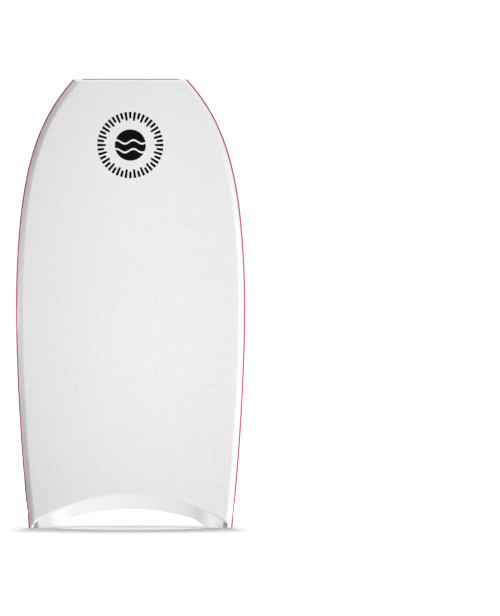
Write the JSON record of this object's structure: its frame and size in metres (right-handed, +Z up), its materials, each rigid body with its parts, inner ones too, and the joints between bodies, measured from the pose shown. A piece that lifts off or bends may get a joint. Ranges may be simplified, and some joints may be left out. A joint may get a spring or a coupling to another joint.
{
  "type": "bodyboard",
  "caption": "Crescent-tail bodyboard with a white foam deck and chines, red pinlines, a glossy red channelled slick, foam core and tubular stringers.",
  "frame": {"origin": "on the floor under the middle of the board's bounding box, as it stands on its tail corners", "axes": "+Z up along the board from tail to nose, +X across the width, -Y out of the deck and +Y out of the slick"},
  "size_m": [0.545, 0.0982, 1.067],
  "materials": {
    "deck_foam": "matte closed-cell polyethylene foam skin, white, with a fine pebble grain",
    "core_foam": "matte expanded polypropylene bead foam, off-white",
    "mesh": "matte polypropylene net, grey",
    "backing": "matte black polyethylene foam sheet",
    "slick_film": "satin gloss ionomer film, crimson",
    "rail_foam": "satin heat-sealed polyethylene foam, white",
    "pinline_red": "satin polyethylene foam strip, crimson",
    "pinline_pale": "satin polyethylene foam strip, very pale pink-white",
    "carbon": "satin carbon-fibre tube with a spiral wrap",
    "cap": "matte moulded plastic, black"
  },
  "bodies": {
    "root": {"deck_skin": "deck_foam", "core_foam": "core_foam", "mesh_layer": "mesh", "slick_backing": "backing", "slick_skin": "slick_film", "tail_bumper": "rail_foam", "nose_bumper": "rail_foam", "chine_left": "rail_foam", "pinline_left": "pinline_red", "outer_rail_left": "rail_foam", "slick_pinline_left": "pinline_pale", "slick_edge_left": "pinline_red", "inner_rail_left": "rail_foam", "stringer_left": "carbon", "stringer_cap_tail_left": "cap", "stringer_cap_nose_left": "cap", "stringer_plug_left": "core_foam", "chine_right": "rail_foam", "pinline_right": "pinline_red", "outer_rail_right": "rail_foam", "slick_pinline_right": "pinline_pale", "slick_edge_right": "pinline_red", "inner_rail_right": "rail_foam", "stringer_right": "carbon", "stringer_cap_tail_right": "cap", "stringer_cap_nose_right": "cap", "stringer_plug_right": "core_foam"}
  },
  "joints": []
}
